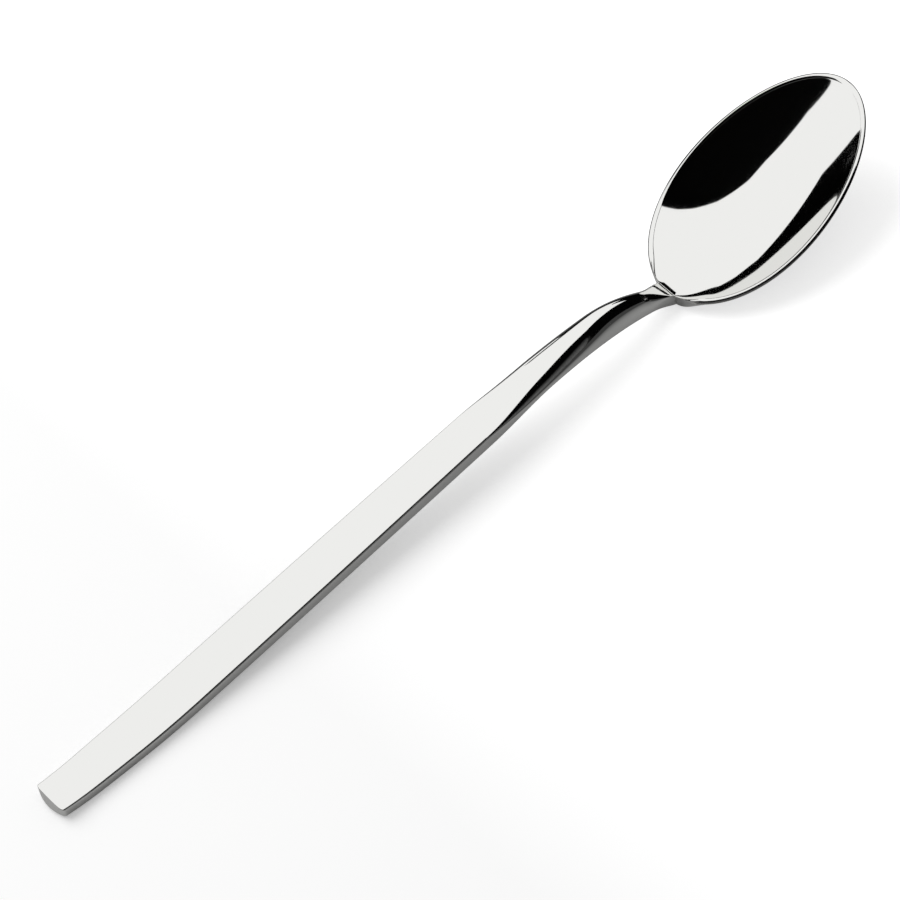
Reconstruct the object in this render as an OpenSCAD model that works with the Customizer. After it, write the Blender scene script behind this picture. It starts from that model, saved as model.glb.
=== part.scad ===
// Long-handled ice cream spoon, lying on a table.
// X runs from the tail of the handle to the tip of the bowl, Y across, Z up.
// The origin is on the table, under the middle of the spoon.

/* [Handle] */
// Length of the flat bar, from the tail to the start of the neck
handle_len = 105; // [80:1:140]
// Width of the bar at its widest place
handle_w = 9.4; // [8:0.1:12]
// Distance from the tail to the widest place
widest_at = 32; // [20:1:45]
// Width of the bar at the tail
tail_w = 8; // [6:0.1:11]
// Width of the bar where the neck starts
neck_start_w = 8.1; // [6:0.1:10]
// Thickness of the bar at the tail
tail_t = 2.3; // [1.5:0.1:4]
// Thickness of the bar where the neck starts
neck_start_t = 3.1; // [2:0.1:4]
// Radius of the two tail corners, seen from above
tail_r = 0.8; // [0.5:0.1:2]
// How far the middle of the tail stands out past its corners
tail_bow = 0.9; // [0:0.1:1.5]
// How far the lower edge of the tail stands out past its upper edge
tail_slant = 0.8; // [0:0.1:1.5]
// How far the tail is turned up off the table
tail_lift = 0.8; // [0:0.1:2]
// Distance from the tail to the flat land that rests on the table
land_at = 10; // [6:0.5:14]
// Length of that flat land
land_len = 8; // [5:0.5:14]
// Length over which the underside bends from the land into its slope
rise_bend = 16; // [8:1:24]
// Slope of the bar after that bend, in degrees
handle_rise = 4.4; // [2:0.1:7]

/* [Neck] */
// Length of the neck, from the bar to the root of the bowl
neck_len = 46.5; // [36:0.5:58]
// Distance from the bar to the crest of the neck's top
crest_at = 29.3; // [24:0.1:34]
// Height that the top gains from the bar to the crest
crest_rise = 3.1; // [1.5:0.1:4.5]
// Distance from the bar to the highest place of the underside
arch_at = 16.5; // [12:0.5:22]
// Height that the underside gains from the bar to that place
arch_rise = 2; // [1:0.1:3]
// Distance from the bar over which the flat top closes to a dome
dome_at = 17.3; // [12:0.1:24]
// Width of the flat that is left on the dome
dome_w = 0.3; // [0.2:0.1:1]
// Width that the neck narrows towards, before it opens to the root
waist_w = 3.2; // [2.6:0.1:4.4]
// Length over which the neck opens to the root
flare_len = 5; // [3:0.5:8]
// Slope of the top where it runs into the bowl, in degrees
dive = 41; // [24:1:44]
// Slope of the underside where it runs into the bowl, in degrees
under_dive = 29; // [20:1:40]

/* [Bowl] */
// Length of the bowl, from its root to its tip
bowl_len = 49.5; // [40:0.5:60]
// Width of the bowl over its rim
bowl_w = 33.7; // [26:0.1:38]
// How much fuller the root half is than the tip half
egg = 0.065; // [0:0.005:0.12]
// Depth of the hollow below the rim
bowl_depth = 7.5; // [5:0.1:9]
// Thickness of the bowl at its deepest place
bowl_wall = 1.3; // [0.8:0.1:2]
// Width of the lip on the rim
lip_w = 1; // [0.6:0.1:1.6]
// Height of the outer edge of the lip
lip_h = 0.9; // [0.6:0.1:1.4]
// Slope of the rim from the root up to the tip, in degrees
bowl_pitch = 17.3; // [6:0.1:20]
// How far the two ends of the rim curve up
rim_sag = 0.4; // [0:0.1:1.5]
// Fullness of the hollow: 1 is a plain bowl, and less has a flatter floor
fullness = 0.8; // [0.6:0.05:1]
// Width of the root, where the neck runs into the bowl
root_w = 4.6; // [3.5:0.1:6]
// Thickness of the root
root_t = 2.8; // [2:0.1:3.4]

/* [Hidden] */

steel = "#d9dadb";

// Steps along the bar, along the neck, along the bowl and across the bowl
bar_steps = 52;
tail_steps = 6;
neck_steps = 45;
dome_steps = 6;
bowl_steps = 40;
bowl_cross = 24;

// Stations along the spoon, measured from the tail
root_x = handle_len + neck_len;
total_len = root_x + bowl_len;
land_end = land_at + land_len;
crest_x = handle_len + crest_at;
arch_x = handle_len + arch_at;
flare_x = root_x - flare_len;

// The rim is an egg: its angle is 0 at the tip and 180 behind the root
bowl_half_w = bowl_w / 2;
root_angle = 180 - asin(root_w / 2 / (bowl_half_w * (1 + egg)));
bowl_half_len = bowl_len / (1 - cos(root_angle));
bowl_mid_x = total_len - bowl_half_len;
// The tip end of the bowl's net of points spans this angle to each side
tip_angle = 42;
// Share of the bowl's length over which the root turns into the plain lip
root_fade = 0.14;

function mix(a, b, t) = a + (b - a) * t;
function clamp01(t) = max(0, min(1, t));
function smooth(t) = clamp01(t) * clamp01(t) * (3 - 2 * clamp01(t));
// Curve between two heights with a given slope at each end
function hermite(z0, m0, z1, m1, len, t) =
    z0 * (1 - 3 * t * t + 2 * t * t * t) + m0 * len * (t - 2 * t * t + t * t * t)
    + z1 * (3 * t * t - 2 * t * t * t) + m1 * len * (t * t * t - t * t);

// Underside of the bar: turned up at the tail, flat on the table, then rising
function rise(d) = d < rise_bend
    ? tan(handle_rise) * d * d / (2 * rise_bend)
    : tan(handle_rise) * (d - rise_bend / 2);
function bar_under(x) = x < land_at
    ? tail_lift * pow((land_at - x) / land_at, 2)
    : rise(max(0, x - land_end));
function bar_top(x) = bar_under(x) + mix(tail_t, neck_start_t, x / handle_len);

// Half width of the bar, widest a little way in from the tail
taper_power = 1.4;
function bar_half_w(x) = x < widest_at
    ? mix(handle_w, tail_w, pow((widest_at - x) / widest_at, 2)) / 2
    : mix(handle_w, neck_start_w, pow((x - widest_at) / (handle_len - widest_at), taper_power)) / 2;

// Height of the rim over the table, with the bowl's lowest place on the table
function rim_slope_z(x) = tan(bowl_pitch) * (x - bowl_mid_x)
    + rim_sag * pow((x - bowl_mid_x) / bowl_half_len, 2);
function fill_at(u, v) = pow(max(0, 1 - u * u - v * v), fullness);
under_depth = bowl_depth + bowl_wall - lip_h;
low_samples = 80;
rim_lift = -min([for (i = [0 : low_samples])
    let (u = i / low_samples * 2 - 1)
    rim_slope_z(bowl_mid_x + u * bowl_half_len) - lip_h - under_depth * fill_at(u, 0)]);
function rim_z(x) = rim_lift + rim_slope_z(x);

// Curve over a high place and down to the root, for the top and the underside of the neck
neck_start_z = bar_under(handle_len);
function over(x, start_z, high_x, high_z, end_z, fall) = x < high_x
    ? hermite(start_z, tan(handle_rise), high_z, 0, high_x - handle_len,
        (x - handle_len) / (high_x - handle_len))
    : hermite(high_z, 0, end_z, -tan(fall), root_x - high_x, (x - high_x) / (root_x - high_x));
function neck_top(x) = over(x, neck_start_z + neck_start_t, crest_x,
    neck_start_z + neck_start_t + crest_rise, rim_z(root_x), dive);
function neck_under(x) = over(x, neck_start_z, arch_x,
    neck_start_z + arch_rise, rim_z(root_x) - root_t, under_dive);

// Half width of the neck, and of the flat on its top, which closes to a dome and opens at the root
function flare(x) = smooth((x - flare_x) / flare_len);
function neck_half_w(x) = let (share = (x - handle_len) / neck_len)
    mix(mix(neck_start_w, waist_w, share * share), root_w, flare(x)) / 2;
function neck_crown(x) = let (flat = neck_half_w(x) * clamp01(1 - (x - handle_len) / dome_at))
    mix(max(dome_w / 2, flat), neck_half_w(x), flare(x));

// Section of the neck at a station: flat below, and on each side a quarter of an oval up to the top
function neck_ring(x) = let (
        half = neck_half_w(x),
        crown = neck_crown(x),
        low = neck_under(x),
        high = neck_top(x),
        side = [for (i = [0 : dome_steps])
            let (a = 90 * i / dome_steps)
            [x, crown + (half - crown) * cos(a), mix(low, high, sin(a))]])
    concat(side, [for (i = [0 : dome_steps]) let (p = side[dome_steps - i]) [p[0], -p[1], p[2]]]);

// Plan of the rim at an angle, drawn in from the outer edge by a distance
function rim_x(angle, inset) = bowl_mid_x + (bowl_half_len - inset) * cos(angle);
function rim_y(angle, inset) = (bowl_half_w - inset) * sin(angle) * (1 - egg * cos(angle));

// Share of the lip that has formed at a share t of the bowl's length
function lip_share(t) = smooth(t / root_fade);
// Plan of the bowl's net: s runs across from -1 to 1, t from the root to the tip
function net_xy(s, t, inset) = let (
        side = mix(root_angle, tip_angle, t),
        drawn = inset * lip_share(t))
    [rim_x(side, drawn) + t * (rim_x(tip_angle * s, drawn) - rim_x(tip_angle, drawn)),
     s * rim_y(side, drawn) + t * (rim_y(tip_angle * s, drawn) - s * rim_y(tip_angle, drawn))];
// How deep the bowl is at a place in its plan
function fill_xy(p, inset) = let (
        c = (p[0] - bowl_mid_x) / (bowl_half_len - inset),
        v = p[1] / ((bowl_half_w - inset) * (1 - egg * c)))
    fill_at(c, v);
// Point of the hollow, and the point of the outside below it
function hollow_point(s, t) = let (p = net_xy(s, t, lip_w))
    [p[0], p[1], rim_z(p[0]) - bowl_depth * lip_share(t) * fill_xy(p, lip_w * lip_share(t))];
function outer_point(s, t) = let (p = net_xy(s, t, 0))
    [p[0], p[1], rim_z(p[0]) - mix(root_t, lip_h, lip_share(t))
        - under_depth * lip_share(t) * fill_xy(p, 0)];

// Faces between two rows of points
function strip(row_a, row_b) = [for (i = [0 : len(row_a) - 2]) each
    [[row_a[i], row_a[i + 1], row_b[i]], [row_a[i + 1], row_b[i + 1], row_b[i]]]];

// Flat bar with a turned-up tail
module handle() {
    corner = tail_bow + tail_r;
    side = bar_half_w(corner) - tail_r;
    // Outline of one half, from the neck round to the middle of the tail
    edge = [for (i = [0 : bar_steps])
        let (x = mix(handle_len, corner, i / bar_steps))
        [x, bar_half_w(x)]];
    round_corner = [for (i = [1 : tail_steps])
        let (a = 90 + 90 * i / tail_steps)
        [corner + tail_r * cos(a), side + tail_r * sin(a)]];
    bowed_end = [for (i = [1 : tail_steps])
        let (share = 1 - i / tail_steps)
        [tail_bow * share * share, side * share]];
    half = concat(edge, round_corner, bowed_end);
    other_half = [for (i = [2 : len(half)]) [half[len(half) - i][0], -half[len(half) - i][1]]];
    under = [for (i = [0 : bar_steps])
        let (x = handle_len * i / bar_steps)
        [x, bar_under(x)]];
    top = [for (i = [0 : bar_steps])
        let (x = mix(handle_len, tail_slant, i / bar_steps))
        [x, bar_top(x)]];
    height = max([for (p = top) p[1]]);
    color(steel)
        translate([-total_len / 2, 0, 0])
            intersection() {
                rotate([90, 0, 0])
                    linear_extrude(height = 2 * handle_w, center = true)
                        polygon(concat(under, top));
                translate([0, 0, -height])
                    linear_extrude(height = 3 * height)
                        polygon(concat(half, other_half));
            }
}

// Neck: its flat top closes to a dome while it narrows and deepens, then opens to the root
module neck() {
    rings = [for (i = [0 : neck_steps]) neck_ring(mix(handle_len, root_x, i / neck_steps))];
    corners = len(rings[0]);
    loops = [for (i = [0 : neck_steps]) [for (j = [0 : corners]) i * corners + j % corners]];
    sides = [for (i = [0 : neck_steps - 1]) each strip(loops[i + 1], loops[i])];
    cap = [for (i = [0 : dome_steps - 1]) each
        [[i, i + 1, corners - 1 - i], [i + 1, corners - 2 - i, corners - 1 - i]]];
    last = neck_steps * corners;
    caps = concat(cap, [for (f = cap) [last + f[2], last + f[1], last + f[0]]]);
    color(steel)
        translate([-total_len / 2, 0, 0])
            polyhedron(points = [for (r = rings) each r], faces = concat(sides, caps));
}

// Bowl: hollow above, outside below, joined by the edge of the lip and the root's end
module bowl() {
    across = bowl_cross + 1;
    outer_start = across * (bowl_steps + 1);
    hollow = [for (i = [0 : bowl_steps], j = [0 : bowl_cross])
        hollow_point(2 * j / bowl_cross - 1, i / bowl_steps)];
    outside = [for (i = [0 : bowl_steps], j = [0 : bowl_cross])
        outer_point(2 * j / bowl_cross - 1, i / bowl_steps)];
    rows = [for (i = [0 : bowl_steps]) [for (j = [0 : bowl_cross]) i * across + j]];
    rim = concat(
        [for (i = [0 : bowl_steps]) i * across],
        [for (j = [1 : bowl_cross]) bowl_steps * across + j],
        [for (i = [1 : bowl_steps]) (bowl_steps - i) * across + bowl_cross],
        [for (j = [1 : bowl_cross]) bowl_cross - j]);
    inner_faces = [for (i = [0 : bowl_steps - 1]) each strip(rows[i], rows[i + 1])];
    outer_faces = [for (f = inner_faces) [outer_start + f[2], outer_start + f[1], outer_start + f[0]]];
    edge_faces = strip(rim, [for (k = rim) k + outer_start]);
    color(steel)
        translate([-total_len / 2, 0, 0])
            polyhedron(
                points = concat(hollow, outside),
                faces = concat(inner_faces, outer_faces, edge_faces));
}

handle();
neck();
bowl();
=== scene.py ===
"""Ice cream spoon of polished stainless steel: a flat bar handle, a slim domed neck and an oval bowl."""

import logging
import math
from dataclasses import dataclass, field
from enum import Enum

import bmesh
import bpy
from mathutils import Matrix, Vector


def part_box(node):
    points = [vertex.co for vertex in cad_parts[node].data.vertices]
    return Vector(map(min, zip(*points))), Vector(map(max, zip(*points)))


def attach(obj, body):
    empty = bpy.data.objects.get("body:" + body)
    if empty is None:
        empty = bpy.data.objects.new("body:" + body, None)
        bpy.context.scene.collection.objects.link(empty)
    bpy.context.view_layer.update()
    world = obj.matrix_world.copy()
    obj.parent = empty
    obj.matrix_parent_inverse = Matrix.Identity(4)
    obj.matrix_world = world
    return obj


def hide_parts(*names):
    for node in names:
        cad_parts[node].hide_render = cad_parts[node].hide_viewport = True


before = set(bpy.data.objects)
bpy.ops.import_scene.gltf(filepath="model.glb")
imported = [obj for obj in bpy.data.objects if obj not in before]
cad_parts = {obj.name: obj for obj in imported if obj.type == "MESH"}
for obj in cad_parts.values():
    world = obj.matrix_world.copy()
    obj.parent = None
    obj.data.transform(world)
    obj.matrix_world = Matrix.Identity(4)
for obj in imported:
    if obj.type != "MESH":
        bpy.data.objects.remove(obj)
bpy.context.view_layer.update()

MM = 0.001
CLOSE = 0.02 * MM
ALIGNED = 0.9
CREASE = math.radians(50)
WHITE = (1.0, 1.0, 1.0, 1.0)
BODY = "root"
LOG = logging.getLogger("spoon")

# The colour sockets of a Mix node have the same names as its number sockets, so they are picked by number.
MIX_FIRST = 6
MIX_SECOND = 7
MIX_RESULT = 2


class Level(Enum):
    """The two faces of the bar that a row of points can lie on."""

    TOP = 1
    UNDER = -1


class Card(Enum):
    """Dark cards that stand round the table and give the steel its black reflections."""

    FRONT = "front_card"
    BACK = "back_card"
    RIGHT = "right_card"


def mix(start: float, end: float, share: float) -> float:
    """Return the value a share of the way from start to end."""
    return start + (end - start) * share


def smooth(share: float) -> float:
    """Return a share that leaves 0 and reaches 1 without a corner."""
    held = max(0.0, min(1.0, share))
    return held * held * (3 - 2 * held)


def swept_height(
    start: float, leaving: float, end: float, arriving: float, length: float, share: float
) -> float:
    """Draw a curve between two heights with a given slope at each end.

    Args:
        start: Height where the curve leaves.
        leaving: Slope there.
        end: Height where it arrives.
        arriving: Slope there.
        length: Distance between the two ends.
        share: How far along the length, from 0 to 1.

    Returns:
        The height at that share.
    """
    square = share * share
    cube = square * share
    return (
        start * (1 - 3 * square + 2 * cube)
        + leaving * length * (share - 2 * square + cube)
        + end * (3 * square - 2 * cube)
        + arriving * length * (cube - square)
    )


def linear_colour(hex_code: str) -> tuple[float, float, float, float]:
    """Turn an sRGB hex value into the linear colour that a shader takes.

    Args:
        hex_code: Six hex digits, with or without a leading hash.

    Returns:
        Linear red, green and blue, and an alpha of one.
    """
    digits = hex_code.lstrip("#")
    shares = [int(digits[at : at + 2], 16) / 255 for at in (0, 2, 4)]
    bent = [s / 12.92 if s <= 0.04045 else ((s + 0.055) / 1.055) ** 2.4 for s in shares]
    return (bent[0], bent[1], bent[2], 1.0)


def add_node(
    tree: bpy.types.NodeTree,
    kind: str,
    settings: dict[str, object] | None = None,
    values: dict[str | int, object] | None = None,
    links: dict[str | int, bpy.types.NodeSocket] | None = None,
) -> bpy.types.Node:
    """Add one node with its settings, socket values and links.

    Args:
        tree: Node tree of the material or the world.
        kind: Type name of the node.
        settings: Node properties by name.
        values: Input sockets that take a fixed value, by name or number.
        links: Input sockets that take another node's output, by name or number.

    Returns:
        The new node.
    """
    node = tree.nodes.new(kind)
    for name, value in (settings or {}).items():
        setattr(node, name, value)
    for name, value in (values or {}).items():
        node.inputs[name].default_value = value
    for name, socket in (links or {}).items():
        tree.links.new(socket, node.inputs[name])
    return node


def grade_along(
    tree: bpy.types.NodeTree,
    axis: str,
    run: tuple[float, float],
    ends: tuple[float, float] = (0.0, 1.0),
    both_sides: bool = False,
) -> bpy.types.NodeSocket:
    """Grade a value along one axis of the object that wears the material.

    Args:
        tree: Node tree of the material.
        axis: Name of the axis.
        run: Places on the axis between which the value changes, in metres.
        ends: The values at those places.
        both_sides: Whether the run also counts on the other side of the middle.

    Returns:
        The graded value.
    """
    place = add_node(tree, "ShaderNodeTexCoord").outputs["Object"]
    away = add_node(tree, "ShaderNodeSeparateXYZ", links={"Vector": place}).outputs[axis]
    if both_sides:
        distance = add_node(tree, "ShaderNodeMath", settings={"operation": "ABSOLUTE"}, links={0: away})
        away = distance.outputs[0]
    graded = add_node(
        tree,
        "ShaderNodeMapRange",
        values={"From Min": run[0], "From Max": run[1], "To Min": ends[0], "To Max": ends[1]},
        links={"Value": away},
    )
    return graded.outputs["Result"]


def deselect_all() -> None:
    if bpy.context.object and bpy.context.object.mode != "OBJECT":
        bpy.ops.object.mode_set(mode="OBJECT")
    bpy.ops.object.select_all(action="DESELECT")


def pick_points(piece: bpy.types.Object, wanted: set[int]) -> None:
    """Select points of a mesh in edit mode.

    Args:
        piece: The mesh.
        wanted: Numbers of the points.
    """
    shape = bmesh.from_edit_mesh(piece.data)
    shape.select_mode = {"VERT"}
    for vert in shape.verts:
        vert.select = vert.index in wanted
    shape.select_flush_mode()
    bmesh.update_edit_mesh(piece.data)


def cut_edges(piece: bpy.types.Object, axis: int, cuts: int) -> None:
    """Cut all edges that run along an axis into equal lengths.

    Args:
        piece: The mesh to cut.
        axis: Number of the axis.
        cuts: Number of cuts in each edge.
    """
    bpy.ops.object.mode_set(mode="EDIT")
    shape = bmesh.from_edit_mesh(piece.data)
    shape.select_mode = {"EDGE"}
    for edge in shape.edges:
        run = edge.verts[1].co - edge.verts[0].co
        edge.select_set(abs(run[axis]) > ALIGNED * run.length)
    shape.select_flush_mode()
    bmesh.update_edit_mesh(piece.data)
    bpy.ops.mesh.subdivide(number_cuts=cuts)
    bpy.ops.object.mode_set(mode="OBJECT")


def finish_strip(piece: bpy.types.Object, even: bool = True) -> bpy.types.Object:
    """Close the ends of a strip, smooth it and set it in the frame.

    Args:
        piece: The rounded strip, measured from the tail.
        even: Whether its flats are to shade evenly up to their rounded edges.

    Returns:
        The same piece.
    """
    bpy.ops.object.mode_set(mode="EDIT")
    bpy.ops.mesh.select_all(action="DESELECT")
    bpy.ops.mesh.select_mode(type="EDGE")
    bpy.ops.mesh.select_non_manifold()
    bpy.ops.mesh.fill_holes(sides=0)
    bpy.ops.mesh.select_all(action="SELECT")
    bpy.ops.mesh.normals_make_consistent(inside=False)
    bpy.ops.object.mode_set(mode="OBJECT")
    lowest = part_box("handle")[0]
    piece.data.transform(Matrix.Translation((lowest.x, 0, 0)))
    bpy.ops.object.shade_smooth_by_angle(angle=CREASE)
    if even:
        weighted = piece.modifiers.new("even_shading", "WEIGHTED_NORMAL")
        weighted.keep_sharp = True
        bpy.ops.object.modifier_apply(modifier=weighted.name)
    return piece


@dataclass(frozen=True)
class PolishedStainless:
    """Stainless steel, buffed to a mirror: it gives back the room almost unchanged, with faint wiping haze.

    The mirror is broken only by fine hairlines along the bar from the buffing wheel and by a thin uneven film
    from handling, which the eye reads as a slight softening of the edges in the reflection. Real hairlines
    lie a few hundredths of a millimetre apart; these are drawn coarser, so that they can show in a picture.
    """

    colour: str = "EDEDEB"
    roughness: float = 0.035
    haze: float = 0.03
    film_mm: float = 14.0
    film_detail: float = 4.0
    film_grain: float = 0.6
    film_range: tuple[float, float] = (0.35, 0.75)
    hairline_mm: float = 0.35
    hairline_detail: float = 2.0
    hairline_squeeze: float = 0.03
    dent_mm: float = 0.0006
    dent_strength: float = 0.05

    def make(self) -> bpy.types.Material:
        """Build the node material.

        Returns:
            The finished steel, for all three pieces.
        """
        steel = bpy.data.materials.new("polished_stainless_steel")
        steel.use_nodes = True
        tree = steel.node_tree
        shader = tree.nodes["Principled BSDF"]
        shader.inputs["Base Color"].default_value = linear_colour(self.colour)
        shader.inputs["Metallic"].default_value = 1.0
        place = add_node(tree, "ShaderNodeTexCoord").outputs["Object"]
        film = add_node(
            tree,
            "ShaderNodeTexNoise",
            values={
                "Scale": 1 / (self.film_mm * MM),
                "Detail": self.film_detail,
                "Roughness": self.film_grain,
            },
            links={"Vector": place},
        )
        spread = add_node(
            tree,
            "ShaderNodeMapRange",
            values={
                "From Min": self.film_range[0],
                "From Max": self.film_range[1],
                "To Min": self.roughness,
                "To Max": self.roughness + self.haze,
            },
            links={"Value": film.outputs["Fac"]},
        )
        along = add_node(
            tree,
            "ShaderNodeMapping",
            values={"Scale": (self.hairline_squeeze, 1.0, 1.0)},
            links={"Vector": place},
        )
        hairlines = add_node(
            tree,
            "ShaderNodeTexNoise",
            values={"Scale": 1 / (self.hairline_mm * MM), "Detail": self.hairline_detail},
            links={"Vector": along.outputs["Vector"]},
        )
        bump = add_node(
            tree,
            "ShaderNodeBump",
            values={"Strength": self.dent_strength, "Distance": self.dent_mm * MM},
            links={"Height": hairlines.outputs["Fac"]},
        )
        tree.links.new(spread.outputs["Result"], shader.inputs["Roughness"])
        tree.links.new(bump.outputs["Normal"], shader.inputs["Normal"])
        return steel


@dataclass(frozen=True)
class MattPaper:
    """White paper, pulled over the table, with no gloss, so that the soft shadow shows on it.

    For the camera it also glows, more towards the bowl: painted light that lightens the bowl's shadow there.

    The steel shows it greyer than the camera does, and darker away from the spoon: painted shade for the
    cards.
    """

    colour: str = "F7F7F7"
    near_in_steel: str = "BEBEBE"
    # Painted shade: in the steel the paper turns from the near grey to the far one beside the spoon and past
    # the tip.
    far_shade_in_steel: str = "4C4C4C"
    shade_fade_beside: tuple[float, float] = (0.006, 0.034)
    shade_fade_past_tip: tuple[float, float] = (0.1, 0.13)
    # Painted light: the camera's glow grows from the first value to the second along the run towards the
    # bowl, lightening its shadow.
    backdrop_glow_and_painted_light: tuple[float, float] = (0.28, 0.62)
    painted_light_run: tuple[float, float] = (-0.05, 0.06)
    roughness: float = 0.9

    def make(self) -> bpy.types.Material:
        """Build the node material.

        Returns:
            The finished paper.
        """
        paper = bpy.data.materials.new("matt_white_paper")
        paper.use_nodes = True
        tree = paper.node_tree
        shader = tree.nodes["Principled BSDF"]
        shader.inputs["Roughness"].default_value = self.roughness
        shader.inputs["Specular IOR Level"].default_value = 0.0
        shader.inputs["Emission Color"].default_value = WHITE
        ray = add_node(tree, "ShaderNodeLightPath")
        # Painted shade: the paper darkens in the steel away from the spoon, beside it and past the tip.
        beside = grade_along(tree, "Y", self.shade_fade_beside, both_sides=True)
        past_tip = grade_along(tree, "X", self.shade_fade_past_tip)
        painted_far_shade = add_node(
            tree, "ShaderNodeMath", settings={"operation": "MAXIMUM"}, links={0: beside, 1: past_tip}
        )
        in_steel = add_node(
            tree,
            "ShaderNodeMix",
            settings={"data_type": "RGBA"},
            values={
                MIX_FIRST: linear_colour(self.near_in_steel),
                MIX_SECOND: linear_colour(self.far_shade_in_steel),
            },
            links={"Factor": painted_far_shade.outputs[0]},
        )
        colour = add_node(
            tree,
            "ShaderNodeMix",
            settings={"data_type": "RGBA"},
            values={MIX_FIRST: linear_colour(self.colour)},
            links={"Factor": ray.outputs["Is Glossy Ray"], MIX_SECOND: in_steel.outputs[MIX_RESULT]},
        )
        # Painted light: the glow that the camera sees grows towards the bowl and lightens the shadow there.
        backdrop_glow_and_painted_light = add_node(
            tree,
            "ShaderNodeMath",
            settings={"operation": "MULTIPLY"},
            links={0: ray.outputs["Is Camera Ray"], 1: grade_along(tree, "X", self.painted_light_run, self.backdrop_glow_and_painted_light)},
        )
        tree.links.new(colour.outputs[MIX_RESULT], shader.inputs["Base Color"])
        tree.links.new(backdrop_glow_and_painted_light.outputs[0], shader.inputs["Emission Strength"])
        return paper


@dataclass(frozen=True)
class MattCard:
    """Black card: it gives back no light, and is paler only at its foot, where the table's light is painted
    on.
    """

    colour: str = "050505"
    # Painted light: the foot colour stands for light that the table throws on the card.
    foot: str = "050505"
    painted_light_fade: tuple[float, float] = (0.1, 0.36)

    def make(self) -> bpy.types.Material:
        """Build the node material.

        Returns:
            The finished card.
        """
        paint = bpy.data.materials.new("matt_black_card")
        paint.use_nodes = True
        tree = paint.node_tree
        shader = tree.nodes["Principled BSDF"]
        shader.inputs["Roughness"].default_value = 1.0
        shader.inputs["Specular IOR Level"].default_value = 0.0
        # Painted light: the colour turns from the foot's paler grey to black with height.
        colour = add_node(
            tree,
            "ShaderNodeMix",
            settings={"data_type": "RGBA"},
            values={MIX_FIRST: linear_colour(self.foot), MIX_SECOND: linear_colour(self.colour)},
            links={"Factor": grade_along(tree, "Z", self.painted_light_fade)},
        )
        tree.links.new(colour.outputs[MIX_RESULT], shader.inputs["Base Color"])
        return paint


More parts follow.
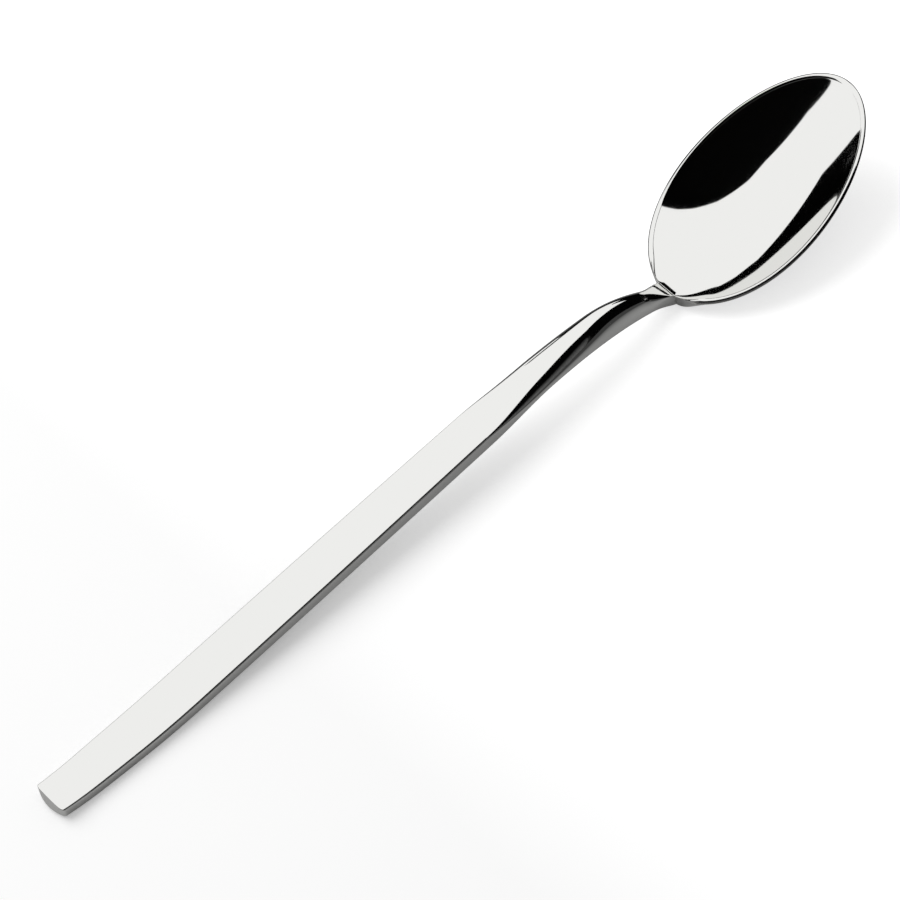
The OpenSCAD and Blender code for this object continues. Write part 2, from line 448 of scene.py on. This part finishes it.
@dataclass(frozen=True)
class BlankLine:
    """Side line and plan of the steel blank, in millimetres from the tail, close to those of the CAD part.

    The rise of the handle and the two dives into the bowl are angles in degrees.
    """

    handle_len: float = 105.0
    handle_w: float = 9.4
    widest_at: float = 32.0
    tail_w: float = 8.0
    neck_start_w: float = 8.1
    tail_t: float = 2.3
    neck_start_t: float = 3.1
    tail_lift: float = 0.8
    land_at: float = 10.0
    land_len: float = 8.0
    rise_bend: float = 16.0
    handle_rise: float = 4.4
    taper_power: float = 1.4
    neck_len: float = 46.5
    crest_at: float = 29.3
    crest_rise: float = 3.1
    arch_at: float = 16.5
    arch_rise: float = 2.0
    dome_at: float = 27.0
    dome_w: float = 0.2
    dome_pace: float = 1.9
    side_flat: float = 0.15
    waist_w: float = 3.2
    flare_len: float = 5.0
    dive: float = 41.0
    under_dive: float = 29.0
    root_w: float = 4.6
    root_t: float = 2.8
    bar_edge: float = 0.5
    root_edge: float = 0.25

    @property
    def root_x(self) -> float:
        """Distance of the bowl's root from the tail."""
        return self.handle_len + self.neck_len

    @property
    def slope(self) -> float:
        """Slope at which the straight part of the handle rises."""
        return math.tan(math.radians(self.handle_rise))

    def rise(self, past: float) -> float:
        """Follow the underside up from the land.

        Args:
            past: Distance past the land.

        Returns:
            Its height.
        """
        if past < self.rise_bend:
            return self.slope * past * past / (2 * self.rise_bend)
        return self.slope * (past - self.rise_bend / 2)

    def bar_under(self, x: float) -> float:
        """Follow the bar's underside.

        Args:
            x: Distance from the tail.

        Returns:
            Its height.
        """
        if x < self.land_at:
            return self.tail_lift * ((self.land_at - x) / self.land_at) ** 2
        return self.rise(max(0.0, x - self.land_at - self.land_len))

    def bar_top(self, x: float) -> float:
        """Return the height of the bar's top."""
        return self.bar_under(x) + mix(self.tail_t, self.neck_start_t, x / self.handle_len)

    def bar_half(self, x: float) -> float:
        """Follow the bar's plan.

        Args:
            x: Distance from the tail.

        Returns:
            Half of the width.
        """
        if x < self.widest_at:
            share = ((self.widest_at - x) / self.widest_at) ** 2
            return mix(self.handle_w, self.tail_w, share) / 2
        share = (x - self.widest_at) / (self.handle_len - self.widest_at)
        return mix(self.handle_w, self.neck_start_w, share**self.taper_power) / 2

    def arched(self, x: float, start: float, high_x: float, high: float, root: float, fall: float) -> float:
        """Draw the neck's top or underside over its high place and down to the bowl's root.

        Args:
            x: Distance from the tail.
            start: Height where the bar ends.
            high_x: Distance of the high place from the tail.
            high: Height there.
            root: Height at the bowl's root.
            fall: Angle at which the line dives into the root, in degrees.

        Returns:
            The height at that distance.
        """
        if x < high_x:
            length = high_x - self.handle_len
            return swept_height(start, self.slope, high, 0.0, length, (x - self.handle_len) / length)
        length = self.root_x - high_x
        return swept_height(high, 0.0, root, -math.tan(math.radians(fall)), length, (x - high_x) / length)

    def neck_top(self, x: float, root: float) -> float:
        """Follow the neck's top.

        Args:
            x: Distance from the tail.
            root: Height of the bowl's root.

        Returns:
            Its height.
        """
        start = self.bar_top(self.handle_len)
        high_x = self.handle_len + self.crest_at
        return self.arched(x, start, high_x, start + self.crest_rise, root, self.dive)

    def neck_under(self, x: float, root: float) -> float:
        """Follow the neck's underside.

        Args:
            x: Distance from the tail.
            root: Height of the bowl's root.

        Returns:
            Its height.
        """
        start = self.bar_under(self.handle_len)
        high_x = self.handle_len + self.arch_at
        return self.arched(x, start, high_x, start + self.arch_rise, root - self.root_t, self.under_dive)

    def flare(self, x: float) -> float:
        """Return how far the neck has opened to the root, from 0 to 1."""
        return smooth((x - self.root_x + self.flare_len) / self.flare_len)

    def closed(self, x: float) -> float:
        """Return how far the flat top has closed to a dome, from 0 at the bar to 1."""
        return min(1.0, (x - self.handle_len) / self.dome_at)

    def neck_half(self, x: float) -> float:
        """Follow the neck's plan.

        Args:
            x: Distance from the tail.

        Returns:
            Half of the width.
        """
        share = (x - self.handle_len) / self.neck_len
        slim = mix(self.neck_start_w, self.waist_w, share * share)
        return mix(slim, self.root_w, self.flare(x)) / 2

    def neck_crown(self, x: float) -> float:
        """Follow the flat on the neck's top.

        Args:
            x: Distance from the tail.

        Returns:
            Half of its width.
        """
        half = self.neck_half(x)
        dome = mix(self.dome_w / 2, half - self.bar_edge, (1 - self.closed(x)) ** 2)
        return mix(dome, half - self.root_edge, self.flare(x))

    def neck_shoulder(self, x: float, height: float) -> float:
        """Follow the rounding of the neck's top.

        Args:
            x: Distance from the tail.
            height: Height of the section there.

        Returns:
            How far down the rounding reaches.
        """
        deepest = height - self.bar_edge - self.side_flat
        dome = mix(self.bar_edge, deepest, smooth(self.dome_pace * self.closed(x)))
        return mix(dome, self.root_edge, self.flare(x))


@dataclass(frozen=True)
class LipTurn:
    """One arc of the lip's section: the tilt of the surface where it ends, in degrees, and its radius."""

    end: float
    radius: float


@dataclass(frozen=True)
class BowlForm:
    """Rim, hollow and outside of the bowl, in millimetres in the CAD frame.

    The depth, wall, lip height and fullness are those of the CAD bowl, which set the height of the rim over
    the table. The pitch and the start of the lip are angles in degrees.
    """

    bowl_len: float = 49.5
    bowl_w: float = 33.7
    egg: float = 0.065
    depth: float = 7.5
    wall: float = 1.3
    lip_h: float = 0.9
    fullness: float = 0.8
    pitch: float = 17.3
    rim_sag: float = 0.4
    hollow_depth: float = 5.62
    hollow_fullness: float = 1.03
    root_fullness: float = 0.88
    hollow_shift: float = 1.7
    steep_reach: float = 16.0
    outer_fullness: float = 0.9
    lip_sink: float = 0.23
    sink_power: int = 3
    lip_from: float = -50.0
    lip_turns: tuple[LipTurn, ...] = (
        LipTurn(-30.0, 0.3),
        LipTurn(-15.0, 1.6),
        LipTurn(20.0, 0.3),
        LipTurn(50.0, 1.0),
        LipTurn(125.0, 0.12),
    )
    root_w: float = 4.6
    root_t: float = 2.8
    root_reach: float = 7.0
    keel_from: float = 0.2
    tip_x: float = 100.5
    low_samples: int = 80

    @property
    def half_len(self) -> float:
        """Half length of the oval that the root cuts short."""
        root_angle = math.pi - math.asin(self.root_w / (self.bowl_w * (1 + self.egg)))
        return self.bowl_len / (1 - math.cos(root_angle))

    @property
    def mid_x(self) -> float:
        """Middle of that oval along the spoon."""
        return self.tip_x - self.half_len

    @property
    def root_x(self) -> float:
        """Place of the root along the spoon."""
        return self.tip_x - self.bowl_len

    def slope_z(self, x: float) -> float:
        """Return the rim's height over that at the middle."""
        past = x - self.mid_x
        return math.tan(math.radians(self.pitch)) * past + self.rim_sag * (past / self.half_len) ** 2

    def mid_line(self, share: float) -> float:
        """Return the same at a share of the way from the middle to the tip."""
        return self.slope_z(self.mid_x + share * self.half_len)

    def shares(self) -> list[float]:
        """Return places along the bowl, from -1 at the root end of the oval to 1 at the tip."""
        return [2 * at / self.low_samples - 1 for at in range(1, self.low_samples)]

    def lift(self) -> float:
        """Set the lowest place of the CAD bowl on the table.

        Returns:
            The rim's height at the middle.
        """
        deep = self.depth + self.wall - self.lip_h
        lowest = min(
            self.mid_line(share) - self.lip_h - deep * (1 - share**2) ** self.fullness
            for share in self.shares()
        )
        return -lowest

    def outer_depth(self, edge: float) -> float:
        """Keep the outside over the table.

        Args:
            edge: Drop from the rim to where the outside starts.

        Returns:
            The greatest depth below that edge.
        """
        lift = self.lift()
        return min(
            (lift + self.mid_line(share) - edge) / (1 - share**2) ** self.outer_fullness
            for share in self.shares()
        )

    def hollow_drop(self, spread: float, from_root: float) -> float:
        """Return how far the hollow lies under its edge.

        Args:
            spread: Share of the way from the middle of the hollow out to its edge.
            from_root: Distance of that place of the edge from the root.

        Returns:
            The drop, which is steeper at the edge next to the root.
        """
        bend = mix(self.root_fullness, self.hollow_fullness, smooth(from_root / self.steep_reach))
        return self.hollow_depth * max(0.0, 1 - spread * spread) ** bend

    def lip_path(self, tilt: float) -> tuple[float, float]:
        """Follow the lip's section from the hollow to where the surface has a given tilt.

        Args:
            tilt: Tilt of the surface away from the hollow, in degrees.

        Returns:
            Distance outwards and distance down from the edge of the hollow.
        """
        out, down, start = 0.0, 0.0, self.lip_from
        for turn in self.lip_turns:
            end = min(turn.end, tilt)
            if end > start:
                out += turn.radius * (math.sin(math.radians(end)) - math.sin(math.radians(start)))
                down += turn.radius * (math.cos(math.radians(start)) - math.cos(math.radians(end)))
                start = end
        return out, down


@dataclass
class Handle:
    """The flat bar, turned up at the tail."""

    line: BlankLine
    node: str = "handle"
    name: str = "bar_handle"
    steps: int = 84
    across: int = 8
    tail_bow: float = 0.9
    tail_slant: float = 0.8
    tail_edge: float = 0.15
    edge_run: float = 4.0
    edge_steps: int = 3
    crisp: float = 30.0

    def build(self) -> bpy.types.Object:
        """Shape the bar from a box.

        Returns:
            The handle, at its place in the frame.
        """
        piece = self.cut_box()
        for station in range(self.steps + 1):
            self.shape_station(piece, station)
        self.bow_tail(piece)
        self.open_end(piece)
        self.round_edges(piece)
        return finish_strip(piece)

    def cut_box(self) -> bpy.types.Object:
        """Cut a box into stations along the spoon and into rows across it.

        Returns:
            A box of the handle's length, 1 mm wide and high, whose points know their station and face.
        """
        length = self.line.handle_len
        deselect_all()
        bpy.ops.mesh.primitive_cube_add(size=MM, location=(0, 0, 0))
        piece = bpy.context.object
        piece.name = self.name
        piece.data.name = self.name
        piece.scale = (length, 1, 1)
        piece.location = (length / 2 * MM, 0, 0)
        bpy.ops.object.transform_apply(location=True, rotation=True, scale=True)
        cut_edges(piece, 0, self.steps - 1)
        cut_edges(piece, 1, self.across - 1)
        stations = piece.data.attributes.new("station", "INT", "POINT")
        levels = piece.data.attributes.new("level", "INT", "POINT")
        for vert in piece.data.vertices:
            stations.data[vert.index].value = round(vert.co.x / MM / length * self.steps)
            levels.data[vert.index].value = (Level.TOP if vert.co.z > 0 else Level.UNDER).value
        return piece

    def shape_station(self, piece: bpy.types.Object, station: int) -> None:
        """Give the section at one station its width and its two heights.

        Args:
            piece: The cut box.
            station: Number of the station, from the tail.
        """
        x = self.line.handle_len * station / self.steps
        stations = piece.data.attributes["station"].data
        levels = piece.data.attributes["level"].data
        here = [number for number in range(len(stations)) if stations[number].value == station]
        faces = {level: {n for n in here if levels[n].value == level.value} for level in Level}
        bpy.ops.object.mode_set(mode="EDIT")
        pick_points(piece, set(here))
        bpy.ops.transform.resize(value=(1, 2 * self.line.bar_half(x), 1), center_override=(0, 0, 0))
        for level, height in ((Level.TOP, self.line.bar_top(x)), (Level.UNDER, self.line.bar_under(x))):
            pick_points(piece, faces[level])
            bpy.ops.transform.translate(value=(0, 0, (height - level.value / 2) * MM))
        bpy.ops.object.mode_set(mode="OBJECT")

    def bow_tail(self, piece: bpy.types.Object) -> None:
        """Set the end face on a slant, with its lower edge bowed outwards.

        Args:
            piece: The shaped bar.
        """
        half = self.line.bar_half(0.0) * MM
        middle = (self.line.bar_under(0.0) + self.line.bar_top(0.0)) / 2 * MM
        bpy.ops.object.mode_set(mode="EDIT")
        shape = bmesh.from_edit_mesh(piece.data)
        moves = []
        for vert in shape.verts:
            if vert.co.x < CLOSE:
                bow = self.tail_bow * (vert.co.y / half) ** 2
                moves.append((vert.index, max(bow, self.tail_slant) if vert.co.z > middle else bow))
        for index, move in moves:
            pick_points(piece, {index})
            bpy.ops.transform.translate(value=(move * MM, 0, 0))
        bpy.ops.object.mode_set(mode="OBJECT")

    def open_end(self, piece: bpy.types.Object) -> None:
        """Take away the end faces where the bar meets the neck, so that no edge there is rounded.

        Args:
            piece: The shaped bar.
        """
        bpy.ops.object.mode_set(mode="EDIT")
        shape = bmesh.from_edit_mesh(piece.data)
        shape.select_mode = {"FACE"}
        for face in shape.faces:
            face.select_set(abs(face.calc_center_median().x - self.line.handle_len * MM) < CLOSE)
        shape.select_flush_mode()
        bmesh.update_edit_mesh(piece.data)
        bpy.ops.mesh.delete(type="FACE")
        bpy.ops.object.mode_set(mode="OBJECT")

    def round_edges(self, piece: bpy.types.Object) -> None:
        """Round the crisp edges of the bar, less towards the cut end, but fully at its upright corners.

        Args:
            piece: The shaped bar.
        """
        shape = bmesh.new()
        shape.from_mesh(piece.data)
        weights = shape.edges.layers.float.new("bevel_weight_edge")
        for edge in shape.edges:
            if len(edge.link_faces) == 2 and edge.calc_face_angle() > math.radians(self.crisp):
                first, last = (vert.co for vert in edge.verts)
                upright = abs(first.z - last.z) > self.line.tail_t / 2 * MM
                run = 1.0 if upright else smooth((first.x + last.x) / 2 / MM / self.edge_run)
                edge[weights] = mix(self.tail_edge, self.line.bar_edge, run) / self.line.bar_edge
        shape.to_mesh(piece.data)
        shape.free()
        bevel = piece.modifiers.new("edges", "BEVEL")
        bevel.limit_method = "WEIGHT"
        bevel.width = self.line.bar_edge * MM
        bevel.segments = self.edge_steps
        bevel.use_clamp_overlap = False
        bpy.context.view_layer.objects.active = piece
        bpy.ops.object.modifier_apply(modifier=bevel.name)


@dataclass
class Neck:
    """The slim part that closes to a dome, arches over a crest and dives into the bowl.

    The points in a ring have to come to a multiple of four, so that one lies at the bottom of the round bar.
    """

    line: BlankLine
    form: BowlForm
    node: str = "neck"
    name: str = "domed_neck"
    steps: int = 93
    flat_steps: int = 4
    corner_steps: int = 4
    dome_steps: int = 23

    def build(self) -> bpy.types.Object:
        """Draw a round bar out along the spoon and press each of its rings to the neck's section.

        The section changes all along, which no operator gives, so each point is set on its ring.

        Returns:
            The neck, at its place in the frame.
        """
        around = 2 * (2 * self.flat_steps + self.corner_steps + 1 + self.dome_steps)
        piece = self.draw_bar(around)
        root = self.form.lift() + self.form.slope_z(self.form.root_x)
        rings: dict[int, list[tuple[float, float]]] = {}
        for vert in piece.data.vertices:
            station = round((vert.co.x / (self.line.neck_len * MM) + 0.5) * self.steps)
            turn = round(math.atan2(vert.co.y, -vert.co.z) / math.tau * around) % around
            x = self.line.handle_len + self.line.neck_len * station / self.steps
            if station not in rings:
                rings[station] = self.half_ring(x, root)
            y, z = rings[station][min(turn, around - turn)]
            vert.co = Vector((x, y if turn <= around // 2 else -y, z)) * MM
        return finish_strip(piece, even=False)

    def draw_bar(self, around: int) -> bpy.types.Object:
        """Add the round bar and cut it into stations.

        Args:
            around: Number of points in a ring.

        Returns:
            A bar of the neck's length about the origin, with one point at the bottom.
        """
        deselect_all()
        bpy.ops.mesh.primitive_cylinder_add(
            vertices=around, radius=MM, depth=self.line.neck_len * MM, rotation=(0, math.pi / 2, 0)
        )
        piece = bpy.context.object
        piece.name = self.name
        piece.data.name = self.name
        bpy.ops.object.transform_apply(location=True, rotation=True, scale=True)
        cut_edges(piece, 0, self.steps - 1)
        return piece

    def half_ring(self, x: float, root: float) -> list[tuple[float, float]]:
        """Draw one half of the section at a distance from the tail.

        Args:
            x: Distance from the tail.
            root: Height of the bowl's root.

        Returns:
            Points from the middle of the underside round to the middle of the top.
        """
        line = self.line
        half, crown = line.neck_half(x), line.neck_crown(x)
        low, high = line.neck_under(x, root), line.neck_top(x, root)
        edge = mix(line.bar_edge, line.root_edge, line.flare(x))
        shoulder = line.neck_shoulder(x, high - low)
        flat = [(mix(0, half - edge, at / self.flat_steps), low) for at in range(self.flat_steps)]
        turns = [math.pi / 2 * at / self.corner_steps for at in range(self.corner_steps + 1)]
        corner = [(half - edge * (1 - math.sin(turn)), low + edge * (1 - math.cos(turn))) for turn in turns]
        turns = [math.pi / 2 * at / self.dome_steps for at in range(self.dome_steps + 1)]
        dome = [(mix(crown, half, math.cos(turn)), high - shoulder * (1 - math.sin(turn))) for turn in turns]
        top = [(mix(crown, 0, (at + 1) / self.flat_steps), high) for at in range(self.flat_steps)]
        return flat + corner + dome + top


@dataclass
class Bowl:
    """The deep oval bowl with its rounded lip.

    Three sizes follow from the form: the height of the rim at the middle, the section of the lip, and the
    depth of the outside below the lip and below the root.
    """

    form: BowlForm
    node: str = "bowl"
    name: str = "oval_bowl"
    around: int = 256
    hollow_rings: int = 64
    lip_rings: int = 40
    outer_rings: int = 44
    lift: float = field(init=False)
    lip: list[tuple[float, float]] = field(init=False)
    deep: tuple[float, float] = field(init=False)

    def __post_init__(self) -> None:
        """Work out the sizes that follow from the form."""
        self.lift = self.form.lift()
        self.lip = self.lip_section()
        self.deep = (self.form.outer_depth(self.lip[-1][1]), self.form.outer_depth(self.form.root_t))

    def build(self) -> bpy.types.Object:
        """Press the upper half of a sphere down into its lower half.

        No operator gives the lip that fades out at the root, so each point is set by the bowl's form.

        Returns:
            The bowl, at its place in the frame.
        """
        deselect_all()
        rings = self.hollow_rings + self.lip_rings + self.outer_rings
        bpy.ops.mesh.primitive_uv_sphere_add(segments=self.around, ring_count=rings, radius=1.0)
        piece = bpy.context.object
        piece.name = self.name
        piece.data.name = self.name
        for vert in piece.data.vertices:
            ring = round(math.acos(max(-1.0, min(1.0, vert.co.z))) / math.pi * rings)
            angle = math.atan2(vert.co.y, vert.co.x)
            vert.co = Vector(self.place(ring, angle)) * MM
        bpy.ops.object.shade_smooth_by_angle(angle=CREASE)
        return piece

    def lip_section(self) -> list[tuple[float, float]]:
        """Draw the lip's section, from the hollow outwards.

        Returns:
            Inset from the outermost line of the bowl and drop below the rim's plane.
        """
        form = self.form
        end = form.lip_turns[-1].end
        tilts = [mix(form.lip_from, end, at / self.lip_rings) for at in range(self.lip_rings + 1)]
        path = [form.lip_path(tilt) for tilt in tilts]
        widest = form.lip_path(90.0)[0]
        highest = form.lip_path(0.0)[1]
        return [(widest - out, form.lip_sink + down - highest) for out, down in path]

    def from_root(self, angle: float) -> float:
        """Measure how far the rim is from the root's face.

        Args:
            angle: Direction from the middle of the bowl.

        Returns:
            The distance.
        """
        form = self.form
        x = form.mid_x + form.half_len * math.cos(angle)
        y = form.bowl_w / 2 * math.sin(angle) * (1 - form.egg * math.cos(angle))
        return math.hypot(x - form.root_x, max(0.0, abs(y) - form.root_w / 2))

    def rim_point(self, angle: float, inset: float) -> tuple[float, float]:
        """Draw the plan of the rim.

        Args:
            angle: Direction from the middle of the bowl.
            inset: Distance by which it is drawn in.

        Returns:
            Place along and across the spoon.
        """
        form = self.form
        x = form.mid_x + (form.half_len - inset) * math.cos(angle)
        y = (form.bowl_w / 2 - inset) * math.sin(angle) * (1 - form.egg * math.cos(angle))
        return max(x, form.root_x), y

    def place(self, ring: int, angle: float) -> tuple[float, float, float]:
        """Put a point of the sphere on the bowl.

        Args:
            ring: Number of the ring, from the middle of the hollow over the lip to the outside.
            angle: Direction from the middle of the bowl.

        Returns:
            Place in millimetres.
        """
        past_hollow = ring - self.hollow_rings
        past_lip = past_hollow - self.lip_rings
        if past_hollow <= 0:
            return self.hollow_point(math.sin(math.pi / 2 * ring / self.hollow_rings), angle)
        if past_lip <= 0:
            return self.lip_point(past_hollow, angle)
        return self.outer_point(math.cos(math.pi / 2 * past_lip / self.outer_rings), angle)

    def hollow_point(self, spread: float, angle: float) -> tuple[float, float, float]:
        """Find a place in the hollow.

        Args:
            spread: Share of the way from the middle out to the lip.
            angle: Direction from the middle of the bowl.

        Returns:
            Place in millimetres.
        """
        form = self.form
        past = self.from_root(angle)
        share = smooth(past / form.root_reach)
        inset, drop = self.lip[0]
        rim = self.rim_point(angle, inset * share)
        x = mix(form.mid_x - form.hollow_shift, rim[0], spread)
        sink = drop * mix(1.0, share, spread**form.sink_power)
        return x, rim[1] * spread, self.lift + form.slope_z(x) - sink - form.hollow_drop(spread, past)

    def lip_point(self, step: int, angle: float) -> tuple[float, float, float]:
        """Find a place on the lip, which turns into the flat face of the root.

        Args:
            step: Number of the step along the lip's section.
            angle: Direction from the middle of the bowl.

        Returns:
            Place in millimetres.
        """
        form = self.form
        share = smooth(self.from_root(angle) / form.root_reach)
        inset, drop = self.lip[step]
        rim = self.rim_point(angle, inset * share)
        root_drop = form.root_t * step / self.lip_rings
        return rim[0], rim[1], self.lift + form.slope_z(rim[0]) - mix(root_drop, drop, share)

    def outer_point(self, spread: float, angle: float) -> tuple[float, float, float]:
        """Find a place on the outside, where a soft keel runs on from the neck.

        Args:
            spread: Share of the way from the middle out to the lip.
            angle: Direction from the middle of the bowl.

        Returns:
            Place in millimetres.
        """
        form = self.form
        past = self.from_root(angle)
        inset, drop = self.lip[-1]
        rim = self.rim_point(angle, inset * smooth(past / form.root_reach))
        x = mix(form.mid_x, rim[0], spread)
        fill = max(0.0, 1 - spread * spread) ** form.outer_fullness
        keel = smooth(spread) * (1 - smooth(past * max(spread, form.keel_from) / form.root_reach))
        below = mix(drop + self.deep[0] * fill, form.root_t + self.deep[1] * fill, keel)
        return x, rim[1] * spread, self.lift + form.slope_z(x) - below


@dataclass
class Spoon:
    """The whole spoon, one piece for each CAD node."""

    line: BlankLine
    form: BowlForm
    finish: PolishedStainless

    def build(self) -> list[bpy.types.Object]:
        """Build and dress the three pieces.

        Returns:
            Handle, neck and bowl.
        """
        steel = self.finish.make()
        pieces = []
        for part in (Handle(self.line), Neck(self.line, self.form), Bowl(self.form)):
            piece = part.build()
            piece.data.materials.clear()
            piece.data.materials.append(steel)
            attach(piece, BODY)
            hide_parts(part.node)
            pieces.append(piece)
        return pieces


@dataclass(frozen=True)
class CardCut:
    """Place, outline and finish of a dark card, in metres.

    The corners are distances along the table and heights, on a plane that faces the middle of the bowl.
    """

    azimuth: float
    distance: float
    corners: tuple[tuple[float, float], ...]
    finish: MattCard = MattCard()


FRONT_CUT = CardCut(
    azimuth=-42.0,
    distance=0.315,
    corners=(
        (-1.15, 0.0),
        (0.95, 0.0),
        (0.93, 0.8),
        (0.86, 1.5),
        (0.74, 2.1),
        (0.5, 2.42),
        (-0.1, 2.4),
        (-0.6, 1.75),
        (-0.6, 1.25),
        (-0.8, 0.88),
        (-1.15, 0.9),
    ),
    # Painted light: the front card's foot is painted grey, for light from the table.
    finish=MattCard(foot="707070"),
)

BACK_CUT = CardCut(
    azimuth=180.0,
    distance=0.128,
    corners=(
        (-0.625, 0.0),
        (0.02, 0.0),
        (0.02, 0.03),
        (0.037, 0.045),
        (0.037, 0.064),
        (-0.023, 0.045),
        (-0.625, 0.165),
    ),
)

RIGHT_CUT = CardCut(
    azimuth=65.0,
    distance=0.4,
    corners=(
        (-0.5, 0.0),
        (0.8, 0.0),
        (0.8, 0.48),
        (0.34, 0.25),
        (-0.04, 0.52),
        (-0.15, 0.67),
        (-0.28, 0.88),
        (-0.5, 1.0),
    ),
)


@dataclass
class Studio:
    """Pale table, soft light from above and three black cards, all outside the spoon."""

    table_size: float = 3.0
    paper: MattPaper = MattPaper()
    bowl_middle: tuple[float, float, float] = (0.075, 0.0, 0.0)
    cuts: dict[Card, CardCut] = field(
        default_factory=lambda: {Card.FRONT: FRONT_CUT, Card.BACK: BACK_CUT, Card.RIGHT: RIGHT_CUT}
    )
    lamp_place: tuple[float, float, float] = (-0.3, 0.85, 1.15)
    lamp_size: float = 1.6
    lamp_power: float = 13.0
    sky_on_steel: float = 1.0
    sky_on_table: float = 0.36

    def build(self) -> None:
        """Set up the table, the cards, the lamp and the sky."""
        self.lay_table()
        for card, cut in self.cuts.items():
            self.stand_card(card, cut)
        self.hang_lamp()
        self.paint_sky()

    def lay_table(self) -> None:
        """Lay the table top under the spoon."""
        deselect_all()
        bpy.ops.mesh.primitive_plane_add(size=self.table_size, location=(0, 0, 0))
        table = bpy.context.object
        table.name = "table"
        table.data.materials.append(self.paper.make())

    def stand_card(self, card: Card, cut: CardCut) -> None:
        """Stand a card on the table, seen only in the steel.

        Args:
            card: Which card it is.
            cut: Its place, outline and finish.
        """
        turn = math.radians(cut.azimuth)
        side = Vector((math.cos(turn), math.sin(turn), 0))
        foot = Vector(self.bowl_middle) + cut.distance * Vector((math.sin(turn), -math.cos(turn), 0))
        deselect_all()
        bpy.ops.mesh.primitive_circle_add(vertices=len(cut.corners), fill_type="NGON", location=(0, 0, 0))
        plane = bpy.context.object
        plane.name = card.value
        for vert, (along, height) in zip(plane.data.vertices, cut.corners):
            vert.co = foot + along * side + Vector((0, 0, height))
        plane.data.materials.append(cut.finish.make())
        plane.visible_camera = False
        plane.visible_diffuse = False
        plane.visible_shadow = False

    def hang_lamp(self) -> None:
        """Hang a wide soft lamp behind the spoon, which the steel doesn't show."""
        deselect_all()
        bpy.ops.object.light_add(type="AREA", location=self.lamp_place)
        lamp = bpy.context.object
        lamp.name = "soft_lamp"
        lamp.rotation_euler = (-Vector(self.lamp_place)).to_track_quat("-Z", "Y").to_euler()
        lamp.data.shape = "DISK"
        lamp.data.size = self.lamp_size
        lamp.data.energy = self.lamp_power
        lamp.visible_glossy = False

    def paint_sky(self) -> None:
        """Make the surroundings white in the steel, and a soft fill on the table."""
        world = bpy.data.worlds.new("white_room")
        bpy.context.scene.world = world
        world.use_nodes = True
        tree = world.node_tree
        tree.nodes.clear()
        ray = add_node(tree, "ShaderNodeLightPath")
        seen = add_node(
            tree,
            "ShaderNodeMath",
            settings={"operation": "MAXIMUM"},
            links={0: ray.outputs["Is Camera Ray"], 1: ray.outputs["Is Glossy Ray"]},
        )
        fill, shown = (
            add_node(tree, "ShaderNodeBackground", values={"Color": WHITE, "Strength": strength})
            for strength in (self.sky_on_table, self.sky_on_steel)
        )
        both = add_node(
            tree,
            "ShaderNodeMixShader",
            links={0: seen.outputs[0], 1: fill.outputs[0], 2: shown.outputs[0]},
        )
        add_node(tree, "ShaderNodeOutputWorld", links={"Surface": both.outputs[0]})


@dataclass
class Viewpoint:
    """The camera of the photograph."""

    azimuth: float = -23.43
    elevation: float = 54.0
    roll: float = 20.0
    distance: float = 1.2
    target: tuple[float, float, float] = (0.000694, 0.005303, 0.0)
    pixels_per_mm: float = 5.37964851
    frame_pixels: int = 900
    sensor: float = 36.0
    clip_end: float = 20.0

    def build(self) -> bpy.types.Object:
        """Set the camera up.

        Returns:
            The camera, which is also made the scene's own.
        """
        azimuth, elevation, roll = (math.radians(turn) for turn in (self.azimuth, self.elevation, self.roll))
        flat = Vector((math.sin(azimuth), -math.cos(azimuth), 0))
        back = math.cos(elevation) * flat + Vector((0, 0, math.sin(elevation)))
        level = Vector((math.cos(azimuth), math.sin(azimuth), 0))
        upright = back.cross(level)
        right = math.cos(roll) * level - math.sin(roll) * upright
        up = math.sin(roll) * level + math.cos(roll) * upright
        deselect_all()
        bpy.ops.object.camera_add(location=(0, 0, 0))
        camera = bpy.context.object
        camera.name = "photo_camera"
        turned = Matrix((right, up, back)).transposed().to_4x4()
        camera.matrix_world = Matrix.Translation(Vector(self.target) + self.distance * back) @ turned
        view_width = self.frame_pixels / self.pixels_per_mm * MM
        camera.data.sensor_fit = "HORIZONTAL"
        camera.data.sensor_width = self.sensor
        camera.data.lens = self.sensor * self.distance / view_width
        camera.data.clip_end = self.clip_end
        bpy.context.scene.camera = camera
        return camera


def main() -> None:
    """Build the spoon, the studio and the camera, and report each piece."""
    logging.basicConfig(level=logging.INFO, format="%(name)s: %(message)s")
    bpy.context.scene.view_settings.view_transform = "Standard"
    for piece in Spoon(BlankLine(), BowlForm(), PolishedStainless()).build():
        LOG.info("%s: %d faces", piece.name, len(piece.data.polygons))
    Studio().build()
    camera = Viewpoint().build()
    LOG.info("%s: lens of %.0f mm", camera.name, camera.data.lens)


if __name__ == "__main__":
    main()
